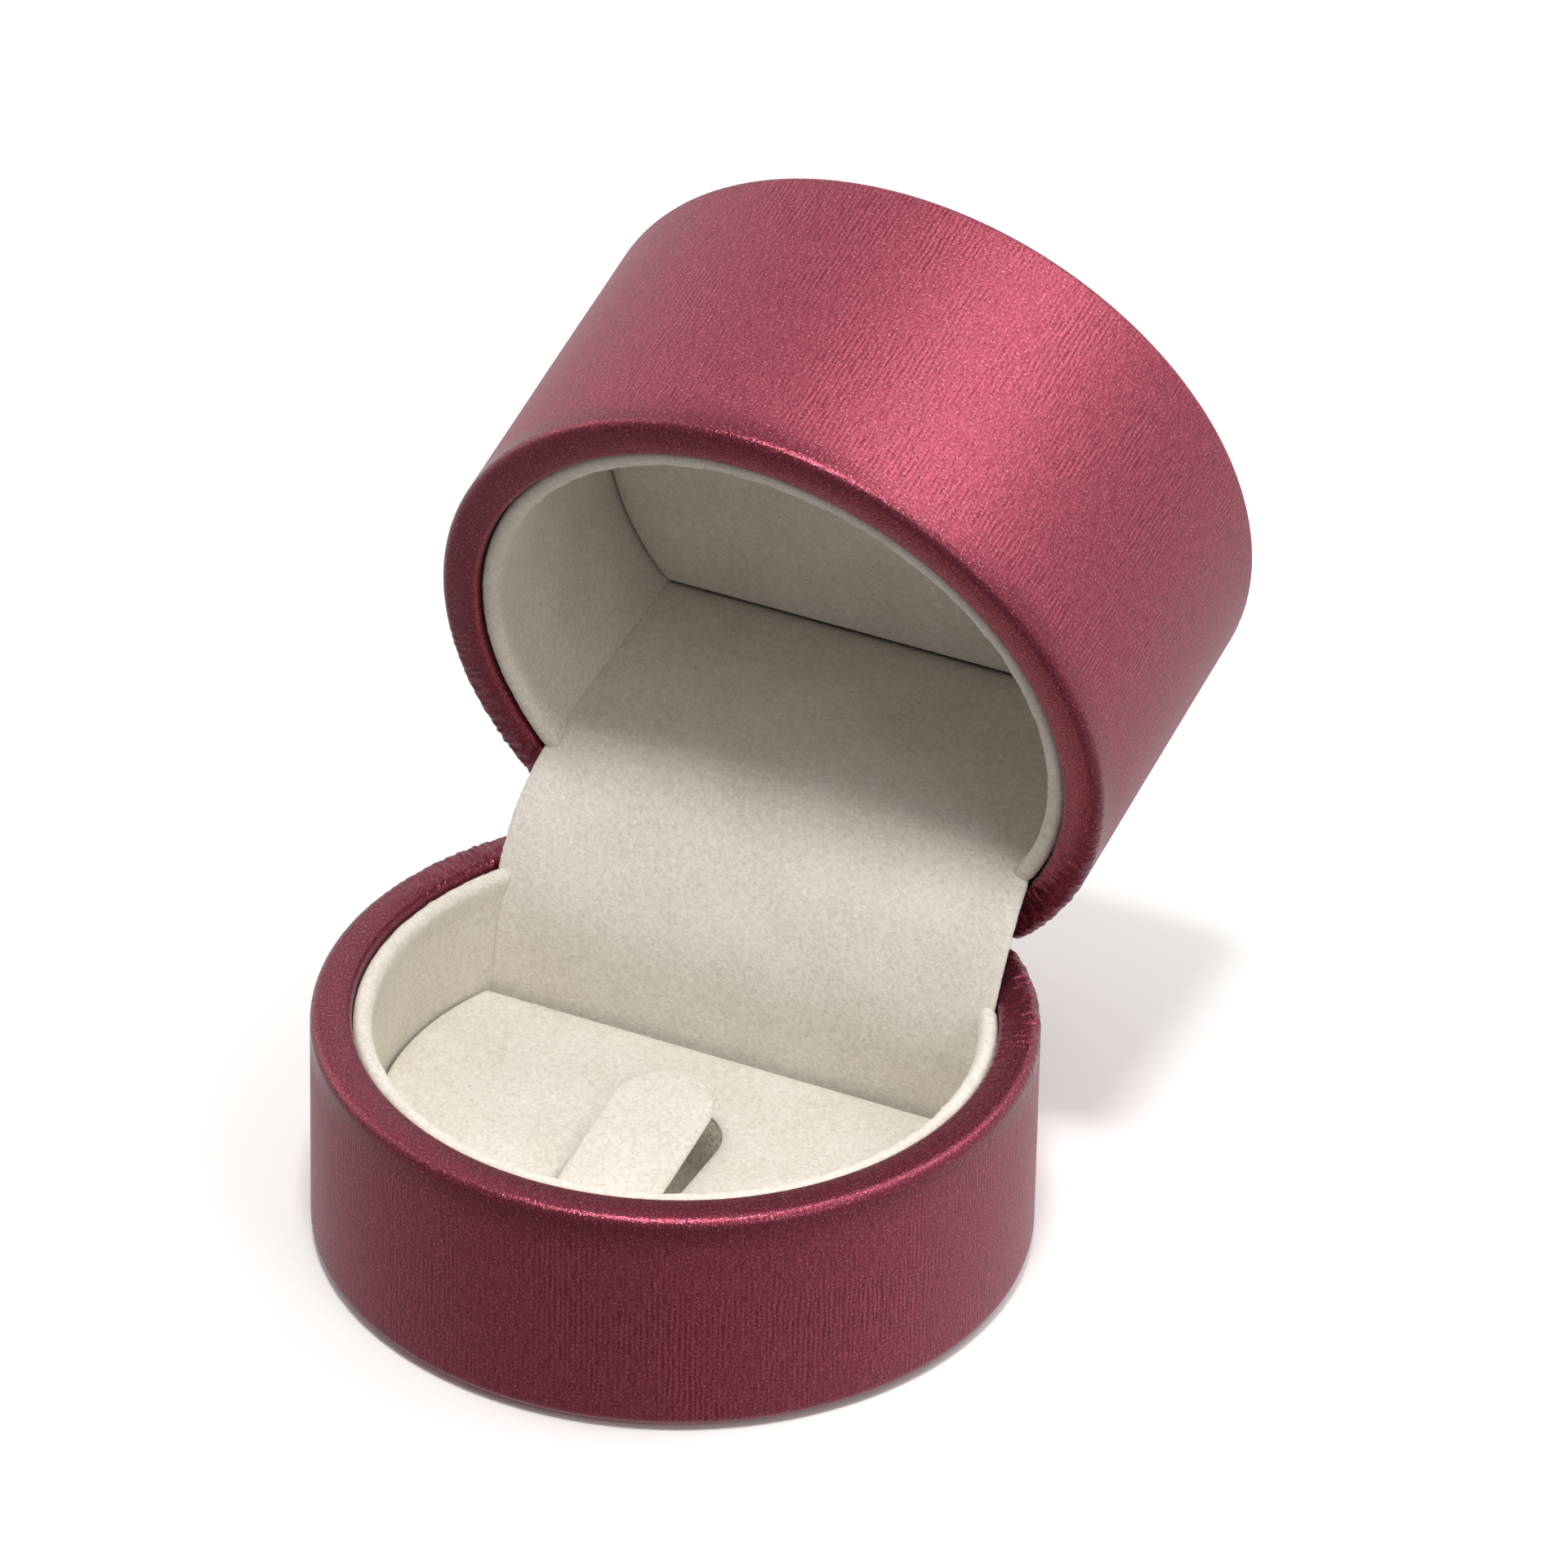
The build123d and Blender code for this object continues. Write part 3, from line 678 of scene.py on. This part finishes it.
def sleeve(foot, edge, end_y):
    """C-shaped sleeve from its hidden foot to its rolled edge, which may be above or below.
    end_y gives where its two ends lie at a height."""
    up = 1 if edge > foot else -1
    middle = (liner_outer + liner_inner) / 2
    roll_z = edge - up * roll
    rows = 14
    profile = [(liner_outer, foot)] + run((liner_outer, foot), (liner_outer, roll_z), rows)
    profile += bow((middle, roll_z), roll, 0, up * 180, 12)
    near_edge = run((liner_inner, roll_z), (liner_inner, roll_z - up * 3.0), 10)
    profile += near_edge + run(near_edge[-1], (liner_inner, foot), rows)
    count = 330
    points, faces = [], []
    for station in range(count + 1):
        for radius, z in profile:
            end_angle = math.asin(end_y(z) / radius)
            angle = end_angle - (math.pi + 2 * end_angle) * station / count
            u = angle * middle
            to_edge = abs(z - edge)
            puff = 0.1 * math.exp(-((to_edge - 0.9) ** 2) / 0.9)
            tuft = noise.noise(Vector((u / 0.55, z / 0.45, foot)))
            slack = noise.noise(Vector((u / 9.0, z / 7.0, foot + 5)))
            fuzz = 0.07 * tuft * math.exp(-((to_edge / 1.4) ** 2))
            swell = puff + fuzz + 0.06 * slack if radius < middle + 0.2 else 0.0
            lift = up * (0.10 * tuft + 0.05 * slack) * math.exp(-((to_edge / 0.6) ** 2))
            points.append(
                ((radius - swell) * math.cos(angle), (radius - swell) * math.sin(angle), z + lift)
            )
    ring = len(profile)
    for station in range(count):
        for i in range(ring):
            a, b = station * ring + i, station * ring + (i + 1) % ring
            faces.append((a, b, b + ring, a + ring) if up > 0 else (a, a + ring, b + ring, b))
    ends = [list(range(ring)), list(range(count * ring, (count + 1) * ring))]
    faces.append(tuple(ends[0][::-1] if up > 0 else ends[0]))
    faces.append(tuple(ends[1] if up > 0 else ends[1][::-1]))
    return points, faces


def base_end(z):
    """Depth of the base liner's ends: on the band, which leans back and bends towards the hinge."""
    return 9.6 + 0.0706 * (z - 3.4) + max(0, z - base_bend_z) ** 2 / (2 * bend_radius)


def lid_end(z):
    """Depth of the lid liner's ends, which lie on the band in the same way."""
    bend = max(0, lid_bend_z - z) ** 2 / (2 * bend_radius)
    return 11.16 + 0.0536 * (min(z, lid_straight_z) - 12.5) + bend


points, faces = sleeve(2.5, 18.3, base_end)
base_liner = make_piece("base_liner_velvet", points, faces)
points, faces = sleeve(43.4, 19.35, lid_end)
lid_liner = make_piece("lid_liner_velvet", [opened(p) for p in points], faces)
for piece, body, node in ((base_liner, "base", "base_liner"), (lid_liner, "lid", "lid_liner")):
    piece.data.materials.append(velvet)
    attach(piece, body)
    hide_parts(node)

# --- Ring pad -------------------------------------------------------------------------------
# Velvet stretched over a foam block and glued under its edge. Its slot is cut round the tongue
# on three sides; at the tongue's root the velvet runs on without a cut.
pad_radius = 22.3
pad_back_y = 9.2
foam_top = 8.4
cover_gauge = 0.6
tongue_half = 4.0
tongue_root_y = -14.5
tongue_tip_y = 2.0
slot_gap = 0.4


def d_shape(radius, flat_y, rounding, pitch):
    """Closed outline of a round front and a straight back with rounded corners."""
    centre_y = flat_y - rounding
    centre_x = math.sqrt((radius - rounding) ** 2 - centre_y**2)
    lean = math.degrees(math.atan2(centre_y, centre_x))
    front = max(8, round(math.radians(180 + 2 * lean) * radius / pitch))
    line = bow((0, 0), radius, lean, -180 - lean, front)
    line += bow((-centre_x, centre_y), rounding, 180 - lean, 90, 5)
    line += run((-centre_x, flat_y), (centre_x, flat_y), round(2 * centre_x / pitch))
    return line + bow((centre_x, centre_y), rounding, 90, lean, 5)[:-1]


def tongue_shape(grow, root_grow, pitch):
    """Closed outline of the tongue, or of the slot cut round it when grown."""
    half = tongue_half + grow
    root = tongue_root_y - root_grow
    end = tongue_tip_y - tongue_half
    side = round((end - root) / pitch)
    tip = [
        (half * math.cos(a), end + (tongue_tip_y + grow - end) * math.sin(a))
        for a in [math.pi * i / 24 for i in range(1, 25)]
    ]
    line = run((half, root), (half, end), side) + tip
    line += run((-half, end), (-half, root), side)
    return line + run((-half, root), (half, root), round(2 * half / pitch))


def inside(line, x, y):
    """Whether a point lies inside a closed outline."""
    hit = False
    for (ax, ay), (bx, by) in zip(line, line[1:] + line[:1]):
        if (ay > y) != (by > y) and x < ax + (y - ay) / (by - ay) * (bx - ax):
            hit = not hit
    return hit


def pad_mesh(outer, holes, upper, lower, insets, pitch):
    """Closed sheet inside an outline and round its holes. upper and lower give its two faces
    from a point and its distance to the nearest edge."""
    edges, spots = [], []
    for line in [outer] + holes:
        first = len(spots)
        spots += line
        edges += [(first + i, first + (i + 1) % len(line)) for i in range(len(line))]
    rim_count = len(spots)
    fine = [
        (ax + (bx - ax) * k / 6, ay + (by - ay) * k / 6)
        for line in [outer] + holes
        for (ax, ay), (bx, by) in zip(line, line[1:] + line[:1])
        for k in range(6)
    ]
    tree = kdtree.KDTree(len(fine))
    for i, (x, y) in enumerate(fine):
        tree.insert((x, y, 0), i)
    tree.balance()

    def within(x, y):
        return inside(outer, x, y) and not any(inside(hole, x, y) for hole in holes)

    for line in [outer] + holes:
        for (ax, ay), (bx, by), (cx, cy) in zip(line[-1:] + line[:-1], line, line[1:] + line[:1]):
            length = math.hypot(cx - ax, cy - ay)
            across = (-(cy - ay) / length, (cx - ax) / length)
            for inset in insets:
                for turn in (1, -1):
                    x, y = bx + across[0] * inset * turn, by + across[1] * inset * turn
                    clear = tree.find((x, y, 0))[2]
                    if clear > inset * 0.97 and within(x, y):
                        spots.append((x, y))
    wide = max(abs(x) for x, _ in outer)
    low, high = min(y for _, y in outer), max(y for _, y in outer)
    rows = int((high - low) / (pitch * 0.866)) + 1
    for row in range(rows):
        y = low + row * pitch * 0.866
        for column in range(int(2 * wide / pitch) + 2):
            x = -wide + (column + 0.5 * (row % 2)) * pitch
            if tree.find((x, y, 0))[2] > insets[-1] + 0.45 * pitch and within(x, y):
                spots.append((x, y))
    made = geometry.delaunay_2d_cdt([Vector(s) for s in spots], edges, [], 0, 1e-5)
    flat_points = [(p.x, p.y) for p in made[0]]
    on_rim = {i for i, source in enumerate(made[3]) if any(s < rim_count for s in source)}
    triangles = []
    for a, b, c in made[2]:
        x = (flat_points[a][0] + flat_points[b][0] + flat_points[c][0]) / 3
        y = (flat_points[a][1] + flat_points[b][1] + flat_points[c][1]) / 3
        if within(x, y):
            triangles.append((a, b, c))
    points = []
    under = {}
    for i, (x, y) in enumerate(flat_points):
        clear = 0.0 if i in on_rim else tree.find((x, y, 0))[2]
        points.append((x, y, upper(x, y, clear)))
    for i, (x, y) in enumerate(flat_points):
        if i in on_rim:
            under[i] = i
        else:
            under[i] = len(points)
            points.append((x, y, lower(x, y, tree.find((x, y, 0))[2])))
    faces = triangles + [(under[c], under[b], under[a]) for a, b, c in triangles]
    return points, faces


def rounded_edge(clear, gauge):
    """Half the thickness of a soft-edged sheet, at a distance from its edge."""
    reach = min(clear / gauge, 1.0)
    return gauge / 2 * math.sqrt(1 - (1 - reach) ** 2)


def pad_upper(x, y, clear):
    """Top of the pad: soft at its edges, slightly crowned, and not quite even."""
    crown = 0.2 * (1 - math.exp(-clear / 3.0))
    wave = 0.04 * noise.noise(Vector((x / 6, y / 6, 2))) * min(clear, 1)
    edge = math.sqrt(1 - (1 - min(1, clear / 1.1)) ** 2)
    return foam_top + 0.05 + 0.5 * edge + crown + wave


def pad_lower(x, y, clear):
    """Underside of the pad's cover, on the foam."""
    return foam_top + 0.1 * max(0, 1 - clear / 0.3)


pad_outline = d_shape(pad_radius, pad_back_y, 0.6, 0.5)
slot_outline = tongue_shape(slot_gap, 0.0, 0.5)
points, faces = pad_mesh(
    pad_outline, [slot_outline], pad_upper, pad_lower, (0.1, 0.25, 0.5, 0.85), 0.9
)
pad_cover = make_piece("ring_pad_velvet", points, faces)
pad_cover.data.materials.append(velvet)
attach(pad_cover, "base")
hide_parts("ring_pad_cover")

# --- Ring tongue -----------------------------------------------------------------------------
# The strap between the slot's cuts. It folds up at its root so that a ring's shank can be
# slipped round it, and it stays a little proud of the pad.
tongue_lift = math.radians(12.0)


def tongue_upper(x, y, clear):
    """Top of the tongue, soft at its edges and slightly crowned."""
    return cover_gauge / 2 + rounded_edge(clear, cover_gauge) + 0.05 * min(clear, 2)


def tongue_lower(x, y, clear):
    """Underside of the tongue."""
    return cover_gauge / 2 - rounded_edge(clear, cover_gauge)


points, faces = pad_mesh(
    tongue_shape(0, 0.5, 0.4), [], tongue_upper, tongue_lower, (0.06, 0.18, 0.36, 0.6), 0.7
)
lifted = []
for x, y, z in points:
    along = y - tongue_root_y
    lean = tongue_lift if along > 0 else 0.0
    lifted.append(
        (
            x,
            tongue_root_y + along * math.cos(lean) - z * math.sin(lean),
            foam_top + along * math.sin(lean) + z * math.cos(lean),
        )
    )
tongue = make_piece("ring_tongue_velvet", lifted, faces)
tongue.data.materials.append(velvet)
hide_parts("ring_tongue")
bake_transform(tongue)

# --- Velvet band -----------------------------------------------------------------------------
# One length of velvet from behind the ring pad to behind the ceiling of the lid, in front of
# the hinge. It is glued to a card at each end, and the taut middle holds the lid open.
band_foot = Vector((9.5, 3.4))
band_bend = Vector((11.04, 25.2))
band_head = Vector(lid_side(12.46, lid_straight_z))
band_gauge = 0.6
band_halves = ((0.0, 20.4), (0.34, 20.6), (0.45, 20.5), (0.56, 20.1), (0.69, 19.6), (1.0, 19.4))

band_corners = [tuple(band_foot), tuple(band_bend), tuple(band_head)]
band_face = rounded_path(band_corners, [bend_radius], 0.34)
band_length = lengths(band_face)[-1]


def band_half(share):
    """Half the band's width, at a share of its length from the foot."""
    for (low, wide), (high, narrow) in zip(band_halves, band_halves[1:]):
        if share <= high:
            return wide + (narrow - wide) * (share - low) / (high - low)
    return band_halves[-1][1]


def band_points():
    """Rings round the band's cross-section, from its foot to its head."""
    flat_v = lengths(band_face)
    across = 44
    rings = []
    for row, (y, z) in enumerate(band_face):
        before, after = band_face[max(row - 1, 0)], band_face[min(row + 1, len(band_face) - 1)]
        step = math.dist(before, after)
        behind = ((after[1] - before[1]) / step, -(after[0] - before[0]) / step)
        half = band_half(flat_v[row] / band_length)
        ring = []
        for side in (1, -1):
            face_points = [side * (half - 0.3) * (1 - 2 * i / across) for i in range(across + 1)]
            depth = 0.0 if side > 0 else band_gauge
            for x in face_points:
                wave = 0.07 * noise.noise(Vector((x / 8, flat_v[row] / 7, 11)))
                ring.append((x, depth + wave))
            for i in range(1, 6):
                a = math.pi * i / 6
                edge = -side * (half - 0.3 + 0.3 * math.sin(a))
                tuft = 0.07 * noise.noise(Vector((flat_v[row] / 0.5, i / 3, side * 5)))
                ring.append((edge + tuft, band_gauge / 2 - side * 0.3 * math.cos(a)))
        rings.append([(x, y + d * behind[0], z + d * behind[1]) for x, d in ring])
    return rings


rings = band_points()
around = len(rings[0])
points = [p for ring in rings for p in ring]
faces = []
for start in range(0, (len(rings) - 1) * around, around):
    for i in range(around):
        after = (i + 1) % around
        faces.append((start + i, start + after, start + around + after, start + around + i))
faces.append(tuple(reversed(range(around))))
faces.append(tuple(range((len(rings) - 1) * around, len(rings) * around)))
band = make_piece("hinge_band_velvet", points, faces)
band.data.materials.append(velvet)
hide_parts("hinge_band")
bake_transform(band)

# --- Ceiling of the lid ------------------------------------------------------------------------
# Velvet over a thin foam and a board, pressed into the lid against its liner.
ceiling_z = 37.7
ceiling_back_y = 12.0


def ceiling_face(x, y, clear):
    """Visible face of the ceiling, soft at its edge."""
    wave = 0.04 * noise.noise(Vector((x / 6, y / 6, 31))) * min(clear, 1)
    edge = 0.55 * (1 - min(1, clear / 1.5)) ** 2
    return ceiling_z + edge - 0.15 * (1 - math.exp(-clear / 3)) + wave


points, faces = pad_mesh(
    d_shape(pad_radius, ceiling_back_y, 0.6, 0.6),
    [],
    lambda x, y, clear: ceiling_z + cover_gauge,
    ceiling_face,
    (0.12, 0.3, 0.6, 1.0, 1.5),
    1.0,
)
ceiling = make_piece("lid_ceiling_velvet", [opened(p) for p in points], faces)
ceiling.data.materials.append(velvet)
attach(ceiling, "lid")
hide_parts("lid_ceiling_cover")

# --- Padded top of the lid ---------------------------------------------------------------------
# Leatherette pulled over foam and board and pressed in behind the lip, so that it domes and
# leaves a sharp groove along the lip. Here the brush lines run across at a slant.
dome_foot = 45.9
dome_radius = 25.35
dome_back_y = 17.75
brush_slant = math.radians(42.0)


def dome_upper(x, y, clear):
    """Top of the domed cover."""
    edge = math.sqrt(1 - (1 - min(clear / 1.9, 1)) ** 2)
    slack = 0.05 * noise.noise(Vector((x / 11, y / 11, 41))) * min(clear / 3, 1)
    return dome_foot + 1.92 * edge + 0.5 * (1 - math.exp(-clear / 6)) + slack


def dome_lower(x, y, clear):
    """Underside of the domed cover, half a millimetre below its top."""
    return max(dome_foot, dome_upper(x, y, clear) - skin)


points, faces = pad_mesh(
    d_shape(dome_radius, dome_back_y, 0.5, 0.6),
    [],
    dome_upper,
    dome_lower,
    (0.03, 0.12, 0.3, 0.6, 1.0, 1.5, 2.1),
    1.1,
)
slanted = [
    (
        x * math.cos(brush_slant) + y * math.sin(brush_slant),
        -x * math.sin(brush_slant) + y * math.cos(brush_slant),
    )
    for x, y, _ in points
]
dome = make_piece("lid_top_leatherette", [opened(p) for p in points], faces, slanted)
dome.data.materials.append(leatherette)
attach(dome, "lid")
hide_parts("lid_top_cover")

# --- Floor, light and camera ---------------------------------------------------------------------
# A plain white table, soft light from above, from behind and from both sides, and a long lens.
# The table lies a hair below the foot panel, so that the two faces share no plane.
table_half = 4.0
table_top = -0.00003
corners = [(-table_half, -table_half), (table_half, -table_half)]
corners += [(table_half, table_half), (-table_half, table_half)]
table = bpy.data.objects.new("table", bpy.data.meshes.new("table"))
table.data.from_pydata([(x, y, table_top) for x, y in corners], [], [(0, 1, 2, 3)])
bpy.context.scene.collection.objects.link(table)

# Matt white laminate: even and pale, so that the box's soft shadow reads on it.
laminate = new_material("matt_white_laminate")
white = add_node(
    laminate, "BsdfPrincipled", {"Base Color": linear("#f2f1ef"), "Roughness": 0.8}
)
add_node(laminate, "OutputMaterial", {"Surface": white})
table.data.materials.append(laminate)
table.visible_diffuse = False
table.visible_glossy = False

# Studio room: brightest behind the box and above it, dim on the camera's side, and slightly
# dimmer to the left than to the right.
world = bpy.data.worlds.new("studio")
bpy.context.scene.world = world
world.use_nodes = True
world.node_tree.nodes.clear()
sky = add_node(world, "TexCoord", {})
facing = add_node(world, "SeparateXYZ", {"Vector": (sky, "Generated")})
behind = add_node(
    world, "MapRange", {"Value": (facing, "Y"), "From Min": -0.8, "From Max": 0.6, "To Min": 0.36}
)
height = add_node(
    world, "MapRange", {"Value": (facing, "Z"), "From Min": -0.6, "From Max": 0.3, "To Min": 0.85}
)
to_right = add_node(
    world,
    "MapRange",
    {"Value": (facing, "X"), "From Min": -0.8, "From Max": 0.8, "To Min": 0.75, "To Max": 0.95},
)
glow = add_node(world, "Math", {0: behind, 1: height}, operation="MULTIPLY")
glow = add_node(world, "Math", {0: glow, 1: to_right}, operation="MULTIPLY")
room = add_node(world, "Background", {"Color": linear("#fdfcfa"), "Strength": glow})
add_node(world, "OutputWorld", {"Surface": room})


def softbox(name, spot, aim, width, height, power):
    """A soft rectangular light, pointed at a spot."""
    light = bpy.data.lights.new(name, "AREA")
    light.shape = "RECTANGLE"
    light.size, light.size_y, light.energy = width, height, power
    lamp = bpy.data.objects.new(name, light)
    bpy.context.scene.collection.objects.link(lamp)
    lamp.location = spot
    lamp.rotation_euler = (Vector(aim) - Vector(spot)).to_track_quat("-Z", "Y").to_euler()


softbox("light_above", (0.06, -0.2, 0.86), (0, 0.01, 0.03), 0.16, 0.16, 4.8)
softbox("light_behind", (0.38, 0.36, 0.74), (0, 0.01, 0.03), 0.5, 0.5, 2.5)
softbox("light_right", (0.6, -0.32, 0.5), (0, 0, 0.02), 0.25, 0.25, 0.9)
softbox("light_left", (-0.75, 0.1, 0.4), (0, 0, 0.03), 0.4, 0.7, 1.2)

bpy.context.scene.view_settings.view_transform = "Standard"

camera_spot = Vector((0.3161, -0.6549, 0.5165))
camera_aim = Vector((0, 0.018, 0.0282))
camera_roll = math.radians(1.195)
ahead = (camera_aim - camera_spot).normalized()
level = ahead.cross(Vector((0, 0, 1))).normalized()
above = level.cross(ahead)
right = level * math.cos(camera_roll) + above * math.sin(camera_roll)
top = above * math.cos(camera_roll) - level * math.sin(camera_roll)
lens = bpy.data.cameras.new("camera")
lens.lens = 274
lens.sensor_width = 36
lens.clip_start = 0.05
camera = bpy.data.objects.new("camera", lens)
bpy.context.scene.collection.objects.link(camera)
axes = Matrix((right, top, -ahead)).transposed().to_4x4()
camera.matrix_world = Matrix.Translation(camera_spot) @ axes
bpy.context.scene.camera = camera
